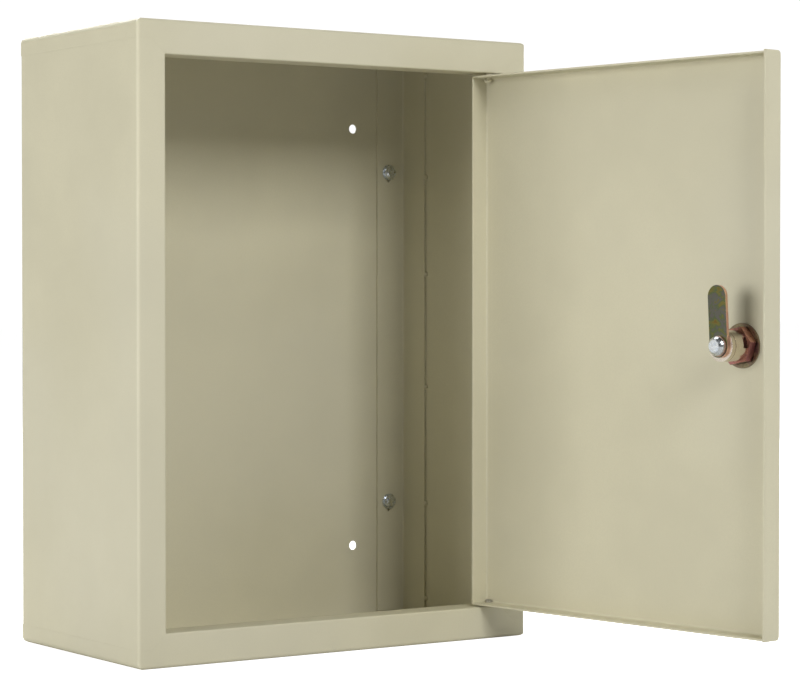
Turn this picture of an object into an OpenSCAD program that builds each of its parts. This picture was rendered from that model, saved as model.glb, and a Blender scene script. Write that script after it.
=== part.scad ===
// Steel wall enclosure with an inset hinged door and a quarter-turn cam lock.
// Folded sheet body, recessed back panel, two mounting rails, door on two pins.
// Front faces -Y, +Z is up. The origin is the centre of the four wall holes,
// on the rear face of the back panel.

/* [Body] */
// Outside width of the body
body_w = 296; // [260:1:420]
// Outside height of the body
body_h = 400; // [340:1:600]
// Outside depth of the body
body_d = 160; // [120:1:260]
// Thickness of the body sheet
sheet = 1.2; // [1:0.1:1.6]
// Outside radius of the long corners of the body
corner_r = 4; // [3:0.5:6]
// Outside radius of the folds at the front
fold_r = 2; // [1.6:0.1:3]
// Height of the turned ends of the top and bottom sheets
turn_h = 12; // [9:1:16]
// How much shorter the side sheets are than the top and bottom, at the rear
side_short = 0.8; // [0:0.1:1.5]

/* [Front frame] */
// Width of the left and right strips of the front frame
strip_side = 19.7; // [15:0.1:30]
// Height of the top and bottom strips of the front frame
strip_top = 21.6; // [16:0.1:30]
// Depth of the lip turned in around the opening
lip_d = 19.5; // [14:0.5:22]

/* [Back panel and rails] */
// Distance from the rear face of the back panel to the rear edges
recess = 15.8; // [12:0.1:30]
// Horizontal distance between wall holes
wall_dx = 206; // [150:1:230]
// Vertical distance between wall holes
wall_dz = 296; // [200:1:320]
// Diameter of the wall holes
wall_hole_d = 6.4; // [4:0.1:10]
// Width of the rail leg that lies on the back panel
rail_back = 23.8; // [18:0.1:40]
// Width of the rail leg that lies on the side sheet
rail_side = 28; // [18:0.5:40]
// Thickness of the rails
rail_t = 1.5; // [1.2:0.1:2.5]
// Length of the rails
rail_len = 391.8; // [340:0.1:391.8]
// Vertical distance between the rail screws
rail_screw_dz = 235.6; // [160:0.1:300]
// Distance from the outer side of the body to the rail screws
rail_screw_in = 15.4; // [13:0.1:18]
// Side of the square holes in the rails
square_hole = 8; // [6:0.5:8.4]

/* [Door] */
// Outside width of the door
door_w = 252.6; // [240:0.1:253]
// Outside height of the door
door_h = 353.7; // [340:0.1:354]
// Depth of the door flanges
door_d = 14.3; // [10:0.1:16]
// Thickness of the door sheet
door_t = 1.2; // [0.8:0.1:1.4]
// Outside radius of the door folds
door_r = 2.5; // [2:0.1:3]
// Gap between door and frame on the hinge side
gap_hinge = 2.4; // [2.2:0.1:3]
// Gap under the door
gap_bottom = 1.1; // [1:0.1:2]
// Distance from the hinge side of the door to the pin
pin_in = 5.4; // [4:0.1:7]
// Distance from the outer face of the door to the pin
pin_back = 3.65; // [3.6:0.05:4.5]
// Diameter of the hinge pins
pin_d = 4; // [3:0.5:4]
// Angle at which the door stands open
open_angle = 98; // [0:1:120]

/* [Lock] */
// Distance from the hinge side of the door to the lock
lock_u = 224.5; // [180:0.5:230]
// Diameter of the lock barrel
barrel_d = 19; // [18:0.5:20]
// Distance from the inner face of the door to the end of the barrel
barrel_end = 17.5; // [17:0.1:20]
// Width of the cam
cam_w = 14; // [12.6:0.1:17]
// Distance from the lock axis to the tip of the cam
cam_tip = 37; // [34:0.5:42]
// Thickness of the cam
cam_t = 2; // [1.5:0.5:3]
// Lean of the cam past upright when the lock is open
cam_lean = 3; // [0:1:6]
// Size of the lock nut across its flats
nut_af = 21.4; // [21:0.1:23]

/* [Hidden] */
$fn = 64;

paint = [0.80, 0.77, 0.66];
zinc = [0.74, 0.78, 0.80];
nickel = [0.76, 0.73, 0.66];
chromate = [0.62, 0.58, 0.36];
copper = [0.78, 0.50, 0.38];
steel = [0.62, 0.62, 0.60];

// The drawing frame has its corner at the front, left and bottom of the body.
ox = body_w / 2;
oy = body_d - recess;
oz = body_h / 2;

// Opening in the front frame
ox0 = strip_side;
ox1 = body_w - strip_side;
oz0 = strip_top;
oz1 = body_h - strip_top;

// Closed door, lock and hinge axis in the drawing frame
dx1 = ox1 - gap_hinge;
dx0 = dx1 - door_w;
dz0 = oz0 + gap_bottom;
dz1 = dz0 + door_h;
hx = dx1 - pin_in;
hy = pin_back;
lx = dx1 - lock_u;
lz = (dz0 + dz1) / 2;
din = door_t;

// Back panel
py0 = body_d - recess - sheet;
py1 = body_d - recess;
rail_y = py0 - rail_t;
rsx = rail_screw_in;
rsz = rail_screw_dz / 2;

// Rail weld positions, from the middle height
weld_z = [-186, -118, -35, 45, 114, 186];

// Stack along the lock axis
stop_t = 2.9;
y_stop = din + barrel_end;
y_cam = y_stop + stop_t;
y_wash = y_cam + cam_t;
y_head = y_wash + 1;
sq = 6.3;
nut_wt = 1;
nut_h = 5.9;

module place() translate([-ox, -oy, -oz]) children();

// Closed position to the open rest position
module door_pose() place()
    translate([hx, hy, 0]) rotate([0, 0, open_angle]) translate([-hx, -hy, 0]) children();

// Extrusions of outlines drawn in XZ, XY and YZ
module yext(a, b) translate([0, b, 0]) rotate([90, 0, 0]) linear_extrude(b - a) children();
module zext(a, b) translate([0, 0, a]) linear_extrude(b - a) children();
module xext(a, b) translate([a, 0, 0]) rotate([90, 0, 90]) linear_extrude(b - a) children();

// Cylinder along Y between two depths
module ycyl(r, a, b, r2 = -1)
    translate([0, b, 0]) rotate([90, 0, 0]) cylinder(h = b - a, r1 = r2 < 0 ? r : r2, r2 = r);

// Rectangle with four round corners
module rrect(x0, y0, x1, y1, r) {
    translate([x0 + r, y0]) square([x1 - x0 - 2 * r, y1 - y0]);
    translate([x0, y0 + r]) square([x1 - x0, y1 - y0 - 2 * r]);
    for (x = [x0 + r, x1 - r], y = [y0 + r, y1 - r]) translate([x, y]) circle(r);
}

// Rectangle whose two corners on the low second coordinate are round
module frect(x0, x1, y0, y1, r) {
    translate([x0 + r, y0]) square([x1 - x0 - 2 * r, y1 - y0]);
    translate([x0, y0 + r]) square([x1 - x0, y1 - y0 - r]);
    for (x = [x0 + r, x1 - r]) translate([x, y0 + r]) circle(r);
}

// Rectangle whose two corners on the low first coordinate are round
module frect_y(y0, y1, z0, z1, r) {
    translate([y0, z0 + r]) square([y1 - y0, z1 - z0 - 2 * r]);
    translate([y0 + r, z0]) square([y1 - y0 - r, z1 - z0]);
    for (z = [z0 + r, z1 - r]) translate([y0 + r, z]) circle(r);
}

// Solid block of the body, inset by a distance all round
module block(x0, x1, y0, y1, z0, z1, rl, rf) {
    intersection() {
        yext(y0, y1) rrect(x0, z0, x1, z1, rl);
        zext(z0 - 1, z1 + 1) frect(x0, x1, y0, y1 + 1, rf);
        xext(x0 - 1, x1 + 1) frect_y(y0, y1 + 1, z0, z1, rf);
    }
}

// Round a fold along the opening: quarter waste between corner and arc
module waste(r) difference() { square([r, r]); translate([0, r]) circle(r); }

module shell() {
    difference() {
        union() {
            difference() {
                block(0, body_w, 0, body_d, 0, body_h, corner_r, fold_r);
                block(sheet, body_w - sheet, sheet, body_d + 2, sheet, body_h - sheet,
                      corner_r - sheet, fold_r - sheet);
            }
            yext(0.3, lip_d) translate([ox0 - sheet, oz0 - sheet])
                square([ox1 - ox0 + 2 * sheet, oz1 - oz0 + 2 * sheet]);
        }
        yext(-1, lip_d + 1) translate([ox0, oz0]) square([ox1 - ox0, oz1 - oz0]);
        // rounded front edges of the opening
        zext(oz0, oz1) translate([ox0 - sheet, 0]) waste(sheet);
        zext(oz0, oz1) translate([ox1 + sheet, 0]) mirror([1, 0]) waste(sheet);
        translate([0, 0, oz0 - sheet]) xext(ox0, ox1) rotate(90) mirror([0, 1]) waste(sheet);
        translate([0, 0, oz1 + sheet]) xext(ox0, ox1) rotate(-90) waste(sheet);
    }
}

// Outline of the region that belongs to the top sheet, drawn in XZ
module top_region() {
    k = oz1 + 0;
    zt = body_h - turn_h;
    m = zt - k;
    polygon([[-1, body_h + 1], [body_w + 1, body_h + 1], [body_w + 1, zt], [ox1 + m, zt],
             [ox1, k], [ox0, k], [ox0 - m, zt], [-1, zt]]);
}

module top_sheet() place() color(paint) difference() {
    intersection() {
        shell();
        yext(-1, body_d + 1) top_region();
    }
    translate([hx, hy, oz1 - 2]) cylinder(h = sheet + 4, r = pin_d / 2 + 0.05);
}

module bottom_sheet() place() color(paint) difference() {
    intersection() {
        shell();
        yext(-1, body_d + 1) translate([0, body_h]) mirror([0, 1]) top_region();
    }
    translate([hx, hy, oz0 - sheet - 2]) cylinder(h = sheet + 4, r = pin_d / 2 + 0.05);
}

module side(x0, x1) difference() {
    intersection() {
        shell();
        translate([x0, -1, -1]) cube([x1 - x0, body_d - side_short + 1, body_h + 2]);
    }
    yext(-2, body_d + 2) top_region();
    yext(-2, body_d + 2) translate([0, body_h]) mirror([0, 1]) top_region();
}

module left_side() place() color(paint) side(-1, body_w / 2);
module right_side() place() color(paint) side(body_w / 2, body_w + 1);

module back_panel() place() color(paint) difference() {
    yext(py0, py1) rrect(sheet + 0.15, sheet + 0.15, body_w - sheet - 0.15, body_h - sheet - 0.15, 3);
    for (x = [-1, 1], z = [-1, 1])
        translate([ox + x * wall_dx / 2, 0, oz + z * wall_dz / 2]) ycyl(wall_hole_d / 2, py0 - 1, py1 + 1);
    for (x = [rsx, body_w - rsx], z = [-1, 1])
        translate([x, 0, oz + z * rsz]) ycyl(2.75, py0 - 1, py1 + 1);
}

// Angle rail along the left side sheet, drawn in XY, with a folded corner
module rail_outline() {
    translate([sheet, py0 - rail_side]) square([rail_t, rail_side - 3]);
    translate([sheet + 3, py0 - rail_t]) square([rail_back - 3, rail_t]);
    difference() {
        translate([sheet + 3, py0 - 3]) circle(3);
        translate([sheet + 3, py0 - 3]) circle(3 - rail_t);
        translate([sheet + 3, py0 - 7]) square([7, 14]);
        translate([sheet - 1, py0 - 10]) square([8, 7]);
    }
}

module rail() difference() {
    zext(oz - rail_len / 2, oz + rail_len / 2) rail_outline();
    for (z = [-1, 1])
        translate([rsx, 0, oz + z * rsz - 1.4]) rotate([0, 45, 0])
            translate([-square_hole / 2, rail_y - 1, -square_hole / 2])
                cube([square_hole, rail_t + 2, square_hole]);
}

module rail_left() place() color(paint) rail();
module rail_right() place() color(paint) translate([body_w, 0, 0]) mirror([1, 0, 0]) rail();

// Tack welds between rail edge and side sheet
module rail_welds() place() color(paint)
    for (z = weld_z, i = [0, 1])
        translate([i == 0 ? sheet : body_w - sheet, py0 - rail_side, oz + z])
            rotate([90, 0, 0]) rotate([0, 0, i == 0 ? -90 : 90])
                rotate_extrude(angle = 180, $fn = 32) weld_profile();

// Half section of a low round weld spot, its foot on the X axis
module weld_profile() intersection() {
    circle(2.1, $fn = 48);
    square([2.1, 1.9]);
}

// Cross recess at the top of a head that faces -Y, its rim at y = 0
module recess_cross(s) {
    translate([-0.14 * s, -1, -0.55 * s]) cube([0.28 * s, 1 + 0.34 * s, 1.1 * s]);
    translate([-0.55 * s, -1, -0.14 * s]) cube([1.1 * s, 1 + 0.34 * s, 0.28 * s]);
    translate([0, 0, 0]) rotate([90, 0, 0]) translate([0, 0, -0.62 * s])
        cylinder(h = 0.62 * s + 1, r1 = 0.06 * s, r2 = 0.33 * s);
}

// Pan head screw along Y: head towards -Y, seat at y = 0
module pan_screw(rh, hh, rs, len) {
    difference() {
        intersection() {
            ycyl(rh, -hh, 0);
            translate([0, rh * 0.95 - hh, 0]) sphere(rh * 1.16);
        }
        translate([0, -hh + 0.24 * rh, 0]) recess_cross(rh);
    }
    ycyl(rs, -0.01, len - 0.5);
    ycyl(rs, len - 0.5, len, rs - 0.5);
}

module flat_washer(ro, ri, y0, y1) difference() {
    ycyl(ro, y0, y1);
    ycyl(ri, y0 - 1, y1 + 1);
}

// Hexagon nut along Y, chamfered
module hex_nut(af, h, ri, both) difference() {
    intersection() {
        translate([0, h, 0]) rotate([90, 30, 0]) cylinder(h = h, r = af / sqrt(3), $fn = 6);
        rotate([90, 0, 0]) translate([0, 0, -h]) union() {
            cylinder(h = h * 0.16, r1 = af * 0.48, r2 = af * 0.48 + h * 0.16 * 1.9);
            translate([0, 0, h * 0.16]) cylinder(h = h, r = af * 0.7);
        }
        rotate([90, 0, 0]) translate([0, 0, -h]) union() {
            cylinder(h = h * 0.84, r = af * 0.7);
            translate([0, 0, h * 0.84])
                cylinder(h = h * 0.16, r1 = both ? af * 0.48 + h * 0.16 * 1.9 : af * 0.7,
                         r2 = both ? af * 0.48 : af * 0.7);
        }
    }
    ycyl(ri, -1, h + 1);
}

module at_rail_screws() place()
    for (x = [rsx, body_w - rsx], z = [-1, 1]) translate([x, 0, oz + z * rsz]) children();

module panel_screws() at_rail_screws() color(zinc)
    translate([0, rail_y - 1, 0]) rotate([0, 35, 0]) pan_screw(4.6, 3.2, 2.5, 10);
module panel_washers() at_rail_screws() color(zinc) flat_washer(5.5, 2.65, rail_y - 1, rail_y);
module panel_nuts() at_rail_screws() color(zinc) translate([0, py1, 0]) hex_nut(8, 4, 2.53, true);

module door_panel() door_pose() color(paint) difference() {
    union() {
        difference() {
            block(dx0, dx1, 0, door_d, dz0, dz1, 1.4, door_r);
            block(dx0 + door_t, dx1 - door_t, door_t, door_d + 2, dz0 + door_t, dz1 - door_t,
                  0.3, door_r - door_t);
        }
        // the flange on the free side stands a little past the top and bottom
        xext(dx0, dx0 + door_t) frect_y(0, door_d, dz0 - 0.5, dz1 + 0.9, door_r);
    }
    translate([lx, 0, lz]) ycyl(barrel_d / 2 + 0.05, -1, door_t + 1);
    translate([hx, hy, dz0 - 2]) cylinder(h = 6, r = pin_d / 2 + 0.02);
    translate([hx, hy, dz1 - 4]) cylinder(h = 6, r = pin_d / 2 + 0.02);
}

// Hinge pins turn with the door; the end inside the door is upset over its flange
module hinge_pin_top() door_pose() color(paint) translate([hx, hy, 0]) {
    translate([0, 0, dz1 - door_t - 0.9]) cylinder(h = oz1 + 8 - dz1 + door_t + 0.9, r = pin_d / 2);
    translate([0, 0, oz1 + 8]) cylinder(h = 0.8, r1 = pin_d / 2, r2 = pin_d / 2 - 0.7);
    intersection() {
        translate([-4, -2, dz1 - door_t - 6]) cube([8, 8, 6]);
        translate([0, 0.62, dz1 - door_t - 1.4]) rotate([-24, -14, 0]) difference() {
            union() {
                rotate_extrude() translate([1.55, 0]) circle(1.2);
                translate([0, 0, -0.7]) cylinder(h = 2, r = 1.7);
            }
            translate([0, 0, -2.2]) cylinder(h = 1.9, r1 = 1.1, r2 = 0.6);
        }
    }
}

module hinge_pin_bottom() door_pose() color(steel) translate([hx, hy, 0]) {
    translate([0, 0, oz0 - 8]) cylinder(h = dz0 + door_t + 0.6 - oz0 + 8, r = pin_d / 2);
    translate([0, 0, oz0 - 8.8]) cylinder(h = 0.8, r1 = pin_d / 2 - 0.7, r2 = pin_d / 2);
    difference() {
        translate([0, 0, dz0 + door_t]) union() {
            cylinder(h = 1.3, r = 2.4);
            translate([0, 0, 1.3]) cylinder(h = 0.6, r1 = 2.4, r2 = 1.7);
        }
        translate([0, 0, dz0 + door_t + 0.9]) cylinder(h = 3, r = 1.1);
        // the head follows the fold of the door
        xext(-4, 4) difference() {
            translate([-4, dz0 - 2]) square([door_r + 4 - hy, door_r + 2]);
            translate([door_r - hy, dz0 + door_r]) circle(door_r - door_t - 0.03);
        }
    }
}

module hinge_washer_top() door_pose() color(steel) translate([hx, hy, dz1]) difference() {
    cylinder(h = 0.8, r = 3.5);
    translate([0, 0, -1]) cylinder(h = 3, r = pin_d / 2 + 0.06);
}

module hinge_washer_bottom() place() color(steel) translate([hx, hy, oz0]) difference() {
    cylinder(h = 1, r = 3.5);
    translate([0, 0, -1]) cylinder(h = 3, r = pin_d / 2 + 0.06);
}

module at_lock() door_pose() translate([lx, 0, lz]) children();

module lock_body() at_lock() color(nickel) difference() {
    union() {
        ycyl(barrel_d / 2, 0, y_stop - 0.6);
        ycyl(barrel_d / 2 - 0.6, y_stop - 0.6, y_stop, barrel_d / 2);
        ycyl(11.8, -2.4, 0);
        ycyl(10.6, -3.4, -2.4, 11.8);
    }
    ycyl(6.5, -4, y_stop - 2);
    ycyl(8, -4, -1.9);
    ycyl(4.58, y_stop - 3, y_stop + 1);
    // grooves for the wafers
    for (s = [-1, 1]) translate([-1.7, 0.6, s > 0 ? 5.5 : -7.6]) cube([3.4, 13.4, 2.1]);
    // arc for the stop lug
    translate([0, y_stop - 1.2, 0]) rotate([-90, 0, 0]) rotate([0, 0, -99.5])
        rotate_extrude(angle = 115) translate([6.7, 0]) square([1.8, 2]);
    // pocket beside the nut
    translate([-barrel_d / 2 - 1, din + 4, -1.2]) cube([3, 6.2, 6.6]);
}

module lock_nut() at_lock() color(copper)
    translate([0, din + nut_wt, 0]) rotate([0, -19, 0]) translate([0, nut_h, 0]) mirror([0, 1, 0])
        hex_nut(nut_af, nut_h, barrel_d / 2 + 0.05, false);
module nut_washer() at_lock() color(chromate) difference() {
    ycyl(13.8, din, din + nut_wt);
    ycyl(barrel_d / 2 + 0.1, din - 1, din + nut_wt + 1);
}

// Everything on the plug turns with it
module at_plug() at_lock() rotate([0, cam_lean, 0]) children();

wafer_y = [2, 4.6, 7.2, 9.8, 12.4];

module lock_plug() at_plug() color(nickel) difference() {
    union() {
        ycyl(7.9, -3, -1.95);
        ycyl(6.42, -1.96, y_stop - 2.1);
        ycyl(4.5, y_stop - 2.2, y_stop);
        translate([-sq / 2, y_stop - 0.5, -sq / 2]) cube([sq, y_wash - y_stop + 0.4, sq]);
    }
    ycyl(2.5, 14.2, y_wash + 1);
    // keyway
    translate([-0.9, -4, -4.2]) cube([1.8, 17.8, 8.4]);
    for (y = wafer_y) {
        translate([-1.6, y - 0.1, -7]) cube([3.2, 1.2, 14]);
        translate([1.5, y - 0.1, -0.4]) cube([2.4, 1.2, 3.6]);
        translate([2.7, y + 0.5, -3.6]) cylinder(h = 4.2, r = 1.05, $fn = 32);
    }
}

module lock_wafers() at_plug() color([0.80, 0.68, 0.36])
    for (i = [0:4]) translate([0, wafer_y[i], 0]) difference() {
        union() {
            translate([-1.5, 0, -5.9]) cube([3, 1, 11.8]);
            translate([1.4, 0, 1.1]) cube([2.3, 1, 1.2]);
        }
        translate([-1, -1, -3.4 + 0.35 * (i % 3)]) cube([2, 3, 6.2]);
    }

// One coil spring: points on a helix, swept with a small polygon
coil_n = 30;
coil_s = 5;
function coil_pt(t, p) = let (a = 360 * 3.0 * t, b = 360 * p / coil_s, r = 0.68 + 0.16 * cos(b))
    [r * cos(a), r * sin(a), 0.18 + 4.2 * t + 0.16 * sin(b)];
module coil() polyhedron(
    points = [for (i = [0:coil_n], p = [0:coil_s - 1]) coil_pt(i / coil_n, p)],
    faces = concat(
        [[for (p = [coil_s - 1:-1:0]) p]],
        [[for (p = [0:coil_s - 1]) coil_n * coil_s + p]],
        [for (i = [0:coil_n - 1], p = [0:coil_s - 1])
            [i * coil_s + p, i * coil_s + (p + 1) % coil_s, (i + 1) * coil_s + (p + 1) % coil_s]],
        [for (i = [0:coil_n - 1], p = [0:coil_s - 1])
            [i * coil_s + p, (i + 1) * coil_s + (p + 1) % coil_s, (i + 1) * coil_s + p]]));

module wafer_springs() at_plug() color(steel)
    for (y = wafer_y) translate([2.7, y + 0.5, -3.58]) coil();

module square_cut(y0, y1) translate([-sq / 2 - 0.05, y0 - 1, -sq / 2 - 0.05])
    cube([sq + 0.1, y1 - y0 + 2, sq + 0.1]);

module stop_washer() at_plug() color(nickel) {
    difference() {
        ycyl(barrel_d / 2, y_stop + 0.05, y_cam);
        square_cut(y_stop, y_cam);
    }
    // lug that runs in the arc of the barrel
    translate([6.9, y_stop - 1, -1.1]) cube([1.4, 1.2, 2.2]);
}

module lock_cam() at_plug() color(chromate) difference() {
    union() {
        ycyl(cam_w / 2, y_cam, y_wash);
        translate([0, 0, cam_tip - cam_w / 2]) ycyl(cam_w / 2, y_cam, y_wash);
        translate([-cam_w / 2, y_cam, 0]) cube([cam_w, cam_t, cam_tip - cam_w / 2]);
    }
    square_cut(y_cam, y_wash);
}

module cam_washer() at_plug() color(copper) flat_washer(6.2, 2.6, y_wash, y_head);

module cam_screw() at_plug() color(zinc)
    translate([0, y_head, 0]) rotate([180, 20, 0]) pan_screw(5.9, 3.4, 2.45, 10);

top_sheet();
bottom_sheet();
left_side();
right_side();
back_panel();
rail_left();
rail_right();
rail_welds();
panel_screws();
panel_washers();
panel_nuts();
door_panel();
hinge_pin_top();
hinge_pin_bottom();
hinge_washer_top();
hinge_washer_bottom();
lock_body();
lock_nut();
nut_washer();
lock_plug();
lock_wafers();
wafer_springs();
stop_washer();
lock_cam();
cam_washer();
cam_screw();
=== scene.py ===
import math

import bmesh
import bpy
from mathutils import Matrix, Vector


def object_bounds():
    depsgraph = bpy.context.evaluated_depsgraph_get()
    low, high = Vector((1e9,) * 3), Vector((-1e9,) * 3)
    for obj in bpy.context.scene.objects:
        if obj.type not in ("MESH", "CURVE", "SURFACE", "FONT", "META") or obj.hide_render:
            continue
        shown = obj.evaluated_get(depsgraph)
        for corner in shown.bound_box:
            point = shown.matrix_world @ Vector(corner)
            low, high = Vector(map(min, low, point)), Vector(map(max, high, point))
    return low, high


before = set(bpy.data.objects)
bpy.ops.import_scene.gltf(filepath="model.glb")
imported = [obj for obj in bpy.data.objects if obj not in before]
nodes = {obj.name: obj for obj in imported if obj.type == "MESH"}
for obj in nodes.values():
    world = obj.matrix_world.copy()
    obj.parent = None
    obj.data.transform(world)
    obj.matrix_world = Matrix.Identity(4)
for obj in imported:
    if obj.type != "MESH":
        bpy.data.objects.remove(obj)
cad_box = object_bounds()

# ---------------------------------------------------------------- camera
cam_data = bpy.data.cameras.new("view_cam")
cam_data.sensor_fit = "HORIZONTAL"
cam_data.sensor_width = 36.0
cam_data.lens = 117.54
cam_data.clip_start = 0.05
cam_data.clip_end = 60.0
cam_data.dof.use_dof = False
cam = bpy.data.objects.new("view_cam", cam_data)
bpy.context.scene.collection.objects.link(cam)
cam.location = (-0.91514, -1.55423, 0.03159)
cam.rotation_mode = "XYZ"
cam.rotation_euler = (math.radians(90.0 - 1.15), 0.0, math.radians(-34.28))
bpy.context.scene.camera = cam


# ---------------------------------------------------------------- node helpers
class Mat:
    """A small builder for one node material."""

    def __init__(self, name):
        self.m = bpy.data.materials.new(name)
        self.m.use_nodes = True
        self.t = self.m.node_tree
        self.n = self.t.nodes
        self.bsdf = self.n["Principled BSDF"]
        self.out = self.n["Material Output"]
        self.tc = self.n.new("ShaderNodeTexCoord")
        self.obj = self.tc.outputs["Object"]
        self.nrm = self.tc.outputs["Normal"]

    def link(self, a, b):
        self.t.links.new(a, b)

    def put(self, sock, v):
        if hasattr(v, "is_output"):
            self.link(v, sock)
        else:
            sock.default_value = v

    def noise(self, scale, detail=2.0, rough=0.5, vec=None, dist=0.0):
        n = self.n.new("ShaderNodeTexNoise")
        n.inputs["Scale"].default_value = scale
        n.inputs["Detail"].default_value = detail
        n.inputs["Roughness"].default_value = rough
        n.inputs["Distortion"].default_value = dist
        self.link(vec or self.obj, n.inputs["Vector"])
        return n.outputs["Fac"]

    def voronoi(self, scale, vec=None, feature="F1", out="Distance"):
        n = self.n.new("ShaderNodeTexVoronoi")
        n.feature = feature
        n.inputs["Scale"].default_value = scale
        self.link(vec or self.obj, n.inputs["Vector"])
        return n.outputs[out]

    def mapping(self, loc=(0, 0, 0), rot=(0, 0, 0), scale=(1, 1, 1), vec=None):
        n = self.n.new("ShaderNodeMapping")
        n.inputs["Location"].default_value = loc
        n.inputs["Rotation"].default_value = rot
        n.inputs["Scale"].default_value = scale
        self.link(vec or self.obj, n.inputs["Vector"])
        return n.outputs["Vector"]

    def math(self, op, a, b=0.0, clamp=False):
        n = self.n.new("ShaderNodeMath")
        n.operation = op
        n.use_clamp = clamp
        self.put(n.inputs[0], a)
        self.put(n.inputs[1], b)
        return n.outputs[0]

    def vmath(self, op, a, b=(0, 0, 0)):
        n = self.n.new("ShaderNodeVectorMath")
        n.operation = op
        self.put(n.inputs[0], a)
        self.put(n.inputs[1], b)
        return n.outputs["Value"] if op in ("DOT_PRODUCT", "LENGTH", "DISTANCE") else n.outputs[0]

    def sep(self, v):
        n = self.n.new("ShaderNodeSeparateXYZ")
        self.link(v, n.inputs[0])
        return n.outputs

    def rng(self, v, a, b, c, d, smooth=True):
        n = self.n.new("ShaderNodeMapRange")
        n.interpolation_type = "SMOOTHSTEP" if smooth else "LINEAR"
        self.link(v, n.inputs["Value"])
        n.inputs["From Min"].default_value = a
        n.inputs["From Max"].default_value = b
        n.inputs["To Min"].default_value = c
        n.inputs["To Max"].default_value = d
        return n.outputs["Result"]

    def ramp(self, v, stops, interp="LINEAR"):
        n = self.n.new("ShaderNodeValToRGB")
        r = n.color_ramp
        r.interpolation = interp
        while len(r.elements) < len(stops):
            r.elements.new(0.5)
        for e, (p, c) in zip(r.elements, stops):
            e.position = p
            e.color = (*c, 1.0)
        self.link(v, n.inputs[0])
        return n.outputs["Color"]

    def mix(self, f, a, b, blend="MIX"):
        n = self.n.new("ShaderNodeMix")
        n.data_type = "RGBA"
        n.blend_type = blend
        self.put(n.inputs[0], f)
        self.put(n.inputs[6], a if hasattr(a, "is_output") else (*a, 1.0))
        self.put(n.inputs[7], b if hasattr(b, "is_output") else (*b, 1.0))
        return n.outputs[2]

    def bump(self, h, dist, strength=1.0, normal=None):
        n = self.n.new("ShaderNodeBump")
        n.inputs["Strength"].default_value = strength
        n.inputs["Distance"].default_value = dist
        self.link(h, n.inputs["Height"])
        if normal is not None:
            self.link(normal, n.inputs["Normal"])
        return n.outputs["Normal"]

    def set(self, **kw):
        for k, v in kw.items():
            s = self.bsdf.inputs[k.replace("_", " ")]
            if hasattr(v, "is_output"):
                self.link(v, s)
            elif isinstance(v, tuple) and len(v) == 3:
                s.default_value = (*v, 1.0)
            else:
                s.default_value = v


def srgb(r, g, b):
    f = lambda c: (c / 255 / 12.92) if c / 255 <= 0.04045 else ((c / 255 + 0.055) / 1.055) ** 2.4
    return (f(r), f(g), f(b))


# ---------------------------------------------------------------- materials
def paint_mat(name, base=(0.637, 0.600, 0.437)):
    """Powder coat: fine orange peel, faint colour drift and a few specks."""
    m = Mat(name)
    dark = tuple(c * 0.955 for c in base)
    light = tuple(min(1.0, c * 1.03) for c in base)
    drift = m.rng(m.noise(9.0, 3.0, 0.55), 0.35, 0.65, 0.0, 1.0)
    grain = m.rng(m.noise(950.0, 2.0, 0.6), 0.3, 0.7, 0.0, 1.0)
    col = m.mix(drift, dark, light)
    col = m.mix(m.math("MULTIPLY", grain, 0.35), col, tuple(c * 0.93 for c in base))
    # warmer and cooler clouds a hand wide
    tone = m.rng(m.noise(4.2, 2.0, 0.5, m.mapping(loc=(3.1, 1.7, 0.4))), 0.4, 0.62, 0.0, 0.5)
    col = m.mix(tone, col, (base[0] * 0.99, base[1] * 1.0, base[2] * 1.06))
    # rare tiny specks
    sp = m.rng(m.voronoi(210.0, m.mapping(loc=(0.2, 0.9, 0.5))), 0.0, 0.075, 1.0, 0.0)
    gate = m.rng(m.noise(46.0, 1.0, 0.5, m.mapping(loc=(7, 2, 5))), 0.66, 0.72, 0.0, 1.0)
    col = m.mix(m.math("MULTIPLY", m.math("MULTIPLY", sp, gate), 0.35), col, (0.20, 0.17, 0.11))
    rough = m.rng(m.noise(60.0, 3.0, 0.6), 0.3, 0.7, 0.44, 0.54)
    peel = m.noise(640.0, 2.5, 0.55)
    wave = m.noise(120.0, 1.5, 0.5)
    h = m.math("ADD", m.math("MULTIPLY", peel, 0.5), m.math("MULTIPLY", wave, 1.0))
    bev = m.n.new("ShaderNodeBevel")
    bev.samples = 4
    bev.inputs["Radius"].default_value = 0.00035
    m.set(Base_Color=col, Roughness=rough, IOR=1.46, Specular_IOR_Level=0.42,
          Normal=m.bump(h, 0.00010, 0.55, bev.outputs[0]))
    return m.m


def zinc_mat(name, base=(0.66, 0.70, 0.74), tint=0.25):
    """Bright passivated zinc: bluish with faint yellow and violet clouds, fine scratches."""
    m = Mat(name)
    cloud = m.noise(420.0, 2.0, 0.6)
    irid = m.ramp(cloud, [(0.30, (0.58, 0.66, 0.78)), (0.45, (0.72, 0.74, 0.76)), (0.58, (0.78, 0.76, 0.66)),
                          (0.72, (0.70, 0.64, 0.72))])
    col = m.mix(tint, base, irid)
    scr = m.noise(2600.0, 1.0, 0.5, m.mapping(scale=(0.15, 1.0, 1.0)))
    rough = m.rng(m.noise(800.0, 3.0, 0.6), 0.3, 0.7, 0.20, 0.36)
    m.set(Base_Color=col, Metallic=1.0, Roughness=rough, Normal=m.bump(scr, 0.00003, 0.4))
    return m.m


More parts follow.
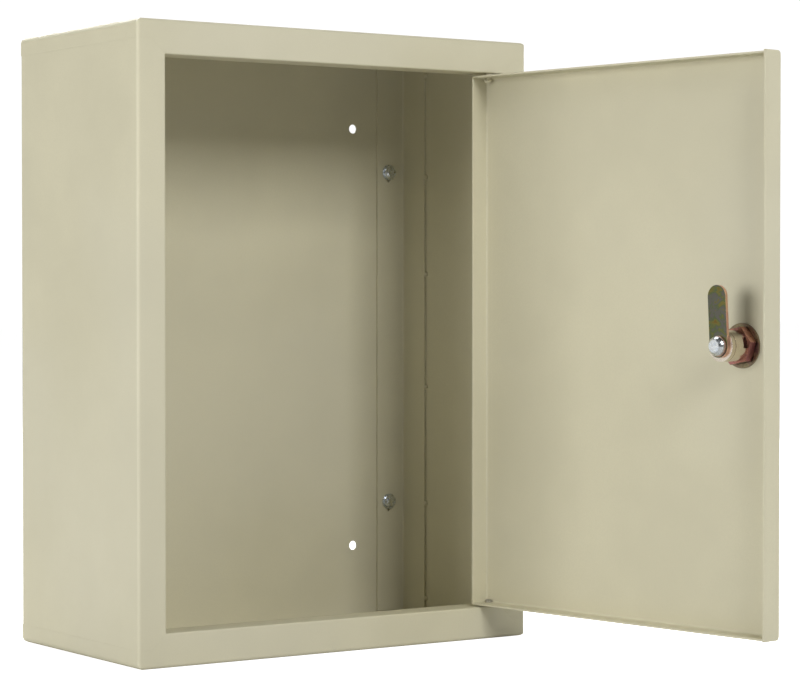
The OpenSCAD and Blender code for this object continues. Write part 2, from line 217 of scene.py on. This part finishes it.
def steel_mat(name, base=(0.46, 0.45, 0.42)):
    m = Mat(name)
    stain = m.rng(m.noise(300.0, 3.0, 0.6), 0.4, 0.7, 0.0, 1.0)
    col = m.mix(stain, base, (base[0] * 0.72, base[1] * 0.69, base[2] * 0.62))
    rough = m.rng(m.noise(900.0, 2.0, 0.6), 0.3, 0.7, 0.30, 0.48)
    m.set(Base_Color=col, Metallic=1.0, Roughness=rough,
          Normal=m.bump(m.noise(2200.0, 1.5, 0.5, m.mapping(scale=(1, 1, 0.2))), 0.00003, 0.4))
    return m.m


def brass_mat(name):
    m = Mat(name)
    col = m.mix(m.rng(m.noise(500.0, 2.0, 0.5), 0.35, 0.65, 0.0, 1.0), (0.80, 0.60, 0.26), (0.66, 0.46, 0.18))
    m.set(Base_Color=col, Metallic=1.0, Roughness=m.rng(m.noise(900.0, 2.0, 0.5), 0.3, 0.7, 0.24, 0.4),
          Normal=m.bump(m.noise(3000.0, 1.0, 0.5, m.mapping(scale=(1, 0.1, 1))), 0.00002, 0.4))
    return m.m


# The lock's axis at rest, in the frame: from the door's outer face inwards
hinge = Vector((0.1205, -0.14055, 0.0))
lock_o = Vector((0.1546073, -0.3570098, -0.00045))
lock_ax = Vector((0.990268069, 0.139173101, 0.0))  # points away from the opening
IN = -lock_ax  # from the door towards the opening


def nickel_mat(name):
    """Nickel plate on turned zinc: fine rings round the lock's axis."""
    m = Mat(name)
    along = m.vmath("DOT_PRODUCT", m.obj, tuple(lock_ax))
    rings = m.n.new("ShaderNodeTexNoise")
    rings.noise_dimensions = "1D"
    rings.inputs["Scale"].default_value = 5200.0
    rings.inputs["Detail"].default_value = 2.0
    m.link(along, rings.inputs["W"])
    stain = m.rng(m.noise(260.0, 3.0, 0.6), 0.38, 0.68, 0.0, 1.0)
    col = m.mix(stain, (0.74, 0.67, 0.57), (0.70, 0.62, 0.53))
    rough = m.rng(m.noise(240.0, 2.0, 0.5), 0.3, 0.7, 0.20, 0.27)
    m.set(Base_Color=col, Metallic=1.0, Roughness=rough, Normal=m.bump(rings.outputs["Fac"], 0.00001, 0.25))
    return m.m


def chromate_mat(name, face_stops, edge_stops, rough=(0.26, 0.42), cloud=150.0, flat_light_stops=None):
    """Yellow passivated zinc: colours that drift with the film's thickness, pinker on the cut edges."""
    m = Mat(name)
    warp = m.noise(cloud, 3.0, 0.6, dist=1.2)
    fine = m.noise(cloud * 5.5, 2.0, 0.6)
    f = m.math("ADD", m.math("MULTIPLY", warp, 0.8), m.math("MULTIPLY", fine, 0.2))
    face = m.ramp(m.rng(f, 0.34, 0.66, 0.0, 1.0, False), face_stops)
    edge = m.ramp(m.rng(m.noise(cloud * 1.6, 2.0, 0.5), 0.3, 0.7, 0.0, 1.0, False), edge_stops)
    flat = m.math("ABSOLUTE", m.vmath("DOT_PRODUCT", m.nrm, tuple(lock_ax)))
    k = m.rng(flat, 0.80, 0.97, 0.0, 1.0)
    if flat_light_stops:
        # painted light on the flats: the tint follows each flat's normal, flats tilted upward get a bright salmon
        # painted highlight, flats facing down get dark painted shade, level flats violet
        side = m.ramp(m.rng(m.sep(m.nrm)[2], -1.0, 1.0, 0.0, 1.0, False), flat_light_stops)
        edge = m.mix(0.8, edge, side)
    col = m.mix(k, edge, face)
    r = m.rng(m.noise(700.0, 3.0, 0.6), 0.3, 0.7, rough[0], rough[1])
    bev = m.n.new("ShaderNodeBevel")
    bev.samples = 4
    bev.inputs["Radius"].default_value = 0.0003
    m.set(Base_Color=col, Metallic=1.0, Roughness=r,
          Normal=m.bump(m.noise(1500.0, 2.0, 0.5), 0.00003, 0.5, bev.outputs[0]))
    return m.m


PAINT = paint_mat("paint_body")
PAINT_D = paint_mat("paint_door")
ZINC = zinc_mat("zinc_bright")
STEEL = steel_mat("steel_plain")
NICKEL = nickel_mat("nickel_turned")
BRASS = brass_mat("brass_wafer")
CAM = chromate_mat(
    "chromate_cam",
    [(0.0, (0.150, 0.100, 0.030)), (0.22, (0.150, 0.135, 0.040)), (0.42, (0.085, 0.110, 0.055)),
     (0.58, (0.115, 0.100, 0.095)), (0.74, (0.100, 0.110, 0.085)), (0.88, (0.150, 0.120, 0.045)),
     (1.0, (0.090, 0.105, 0.045))],
    [(0.0, (0.80, 0.46, 0.33)), (0.5, (0.90, 0.58, 0.43)), (1.0, (0.76, 0.40, 0.34))], rough=(0.30, 0.40), cloud=85.0)
NUT = chromate_mat(
    "chromate_nut",
    [(0.0, (0.34, 0.15, 0.12)), (0.5, (0.48, 0.22, 0.17)), (1.0, (0.26, 0.12, 0.13))],
    [(0.0, (0.60, 0.30, 0.24)), (0.5, (0.66, 0.34, 0.28)), (1.0, (0.42, 0.20, 0.26))], cloud=110.0,
    # painted light on the nut's flats: bright salmon painted highlight on upward flats, dark painted shade on
    # downward ones
    flat_light_stops=[(0.0, (0.14, 0.11, 0.07)), (0.26, (0.17, 0.10, 0.09)), (0.36, (0.34, 0.12, 0.16)),
              (0.56, (0.36, 0.13, 0.17)), (0.68, (0.86, 0.44, 0.33)), (0.90, (0.88, 0.48, 0.36)),
              (1.0, (0.22, 0.16, 0.11))])
WASH = chromate_mat(
    "chromate_washer",
    [(0.0, (0.62, 0.38, 0.28)), (0.5, (0.74, 0.50, 0.38)), (1.0, (0.56, 0.34, 0.34))],
    [(0.0, (0.76, 0.48, 0.38)), (1.0, (0.70, 0.42, 0.36))], cloud=220.0)

OLIVE = chromate_mat(
    "chromate_olive",
    [(0.0, (0.16, 0.13, 0.08)), (0.5, (0.24, 0.20, 0.12)), (1.0, (0.18, 0.12, 0.10))],
    [(0.0, (0.30, 0.24, 0.16)), (0.5, (0.36, 0.28, 0.20)), (1.0, (0.24, 0.18, 0.16))], cloud=90.0)

USE = {
    "top_sheet": PAINT, "bottom_sheet": PAINT, "left_side": PAINT, "right_side": PAINT,
    "back_panel": PAINT, "rail_left": PAINT, "rail_right": PAINT, "rail_welds": PAINT,
    "panel_screws": ZINC, "panel_washers": ZINC, "panel_nuts": ZINC,
    "door_panel": PAINT_D, "hinge_pin_top": PAINT_D, "hinge_pin_bottom": STEEL,
    "hinge_washer_top": STEEL, "hinge_washer_bottom": STEEL,
    "lock_body": NICKEL, "lock_nut": NUT, "lock_plug": NICKEL, "lock_wafers": BRASS,
    "wafer_springs": STEEL, "stop_washer": NICKEL, "nut_washer": OLIVE, "lock_cam": CAM, "cam_washer": WASH, "cam_screw": ZINC,
}
for name, ob in nodes.items():
    mat = USE[name]
    if not ob.material_slots:
        ob.data.materials.append(mat)
    for s in ob.material_slots:
        s.material = mat

# ---------------------------------------------------------------- stage
def stage_sheet(name, z):
    me = bpy.data.meshes.new(name)
    bm = bmesh.new()
    bmesh.ops.create_grid(bm, x_segments=4, y_segments=4, size=14.0)
    bm.to_mesh(me)
    bm.free()
    ob = bpy.data.objects.new(name, me)
    bpy.context.scene.collection.objects.link(ob)
    ob.location = (0, 0, z)
    return ob


# the floor that is seen, and the pale table under it that returns the light
floor = stage_sheet("floor", cad_box[0][2] - 0.0004)
fm = Mat("floor_pale")
fm.set(Base_Color=(0.86, 0.86, 0.85), Roughness=0.9, Emission_Color=(1.0, 1.0, 1.0), Emission_Strength=1.0)
floor.data.materials.append(fm.m)
floor.visible_diffuse = False
floor.visible_glossy = False
floor.visible_shadow = False
table = stage_sheet("floor_bounce", cad_box[0][2] - 0.0012)
tm = Mat("floor_bounce")
tm.set(Base_Color=(0.66, 0.66, 0.65), Roughness=0.9)
table.data.materials.append(tm.m)
table.visible_camera = False

# ---------------------------------------------------------------- light
world = bpy.data.worlds.new("studio")
bpy.context.scene.world = world
world.use_nodes = True
bg = world.node_tree.nodes["Background"]
bg.inputs["Color"].default_value = (1, 1, 1, 1)
bg.inputs["Strength"].default_value = 1.05
world.cycles_visibility.diffuse = False
world.cycles_visibility.glossy = False

AIM = Vector((0.03, -0.16, 0.0))


def softbox(name, az, el, dist, size, power, color=(1, 1, 1)):
    """Square soft light; az 0 is straight in front of the box (-Y), positive to the right (+X)."""
    a, e = math.radians(az), math.radians(el)
    d = Vector((math.sin(a) * math.cos(e), -math.cos(a) * math.cos(e), math.sin(e)))
    ld = bpy.data.lights.new(name, "AREA")
    ld.shape = "SQUARE"
    ld.size = size
    ld.energy = power
    ld.color = color
    lo = bpy.data.objects.new(name, ld)
    lo.location = AIM + d * dist
    lo.rotation_mode = "QUATERNION"
    lo.rotation_quaternion = (-d).to_track_quat("-Z", "Y")
    lo.visible_camera = False
    bpy.context.scene.collection.objects.link(lo)
    return lo


LIGHTS = [
    ("soft_left", -90, 5, 2.4, 1.3, 38.5),
    ("soft_key", -5, 30, 2.4, 0.9, 28.0),
    ("soft_left_high", -65, 30, 2.4, 0.9, 2.5),
    ("soft_right_high", 15, 30, 2.4, 0.9, 5.0),
    ("soft_right", 35, 5, 2.4, 0.9, 6.5),
    ("soft_behind_left", -120, 5, 2.4, 0.9, 2.0),
    ("soft_rear", 168, 30, 2.4, 1.2, 26.0),
    ("soft_rear_right", 112, 12, 2.4, 1.2, 24.0),
    ("soft_roof", 178, 68, 2.4, 1.2, 22.0),
]
for args in LIGHTS:
    softbox(*args)

scene = bpy.context.scene
scene.view_settings.view_transform = "Standard"
scene.view_settings.look = "None"
scene.view_settings.exposure = 0.0
scene.view_settings.gamma = 1.0
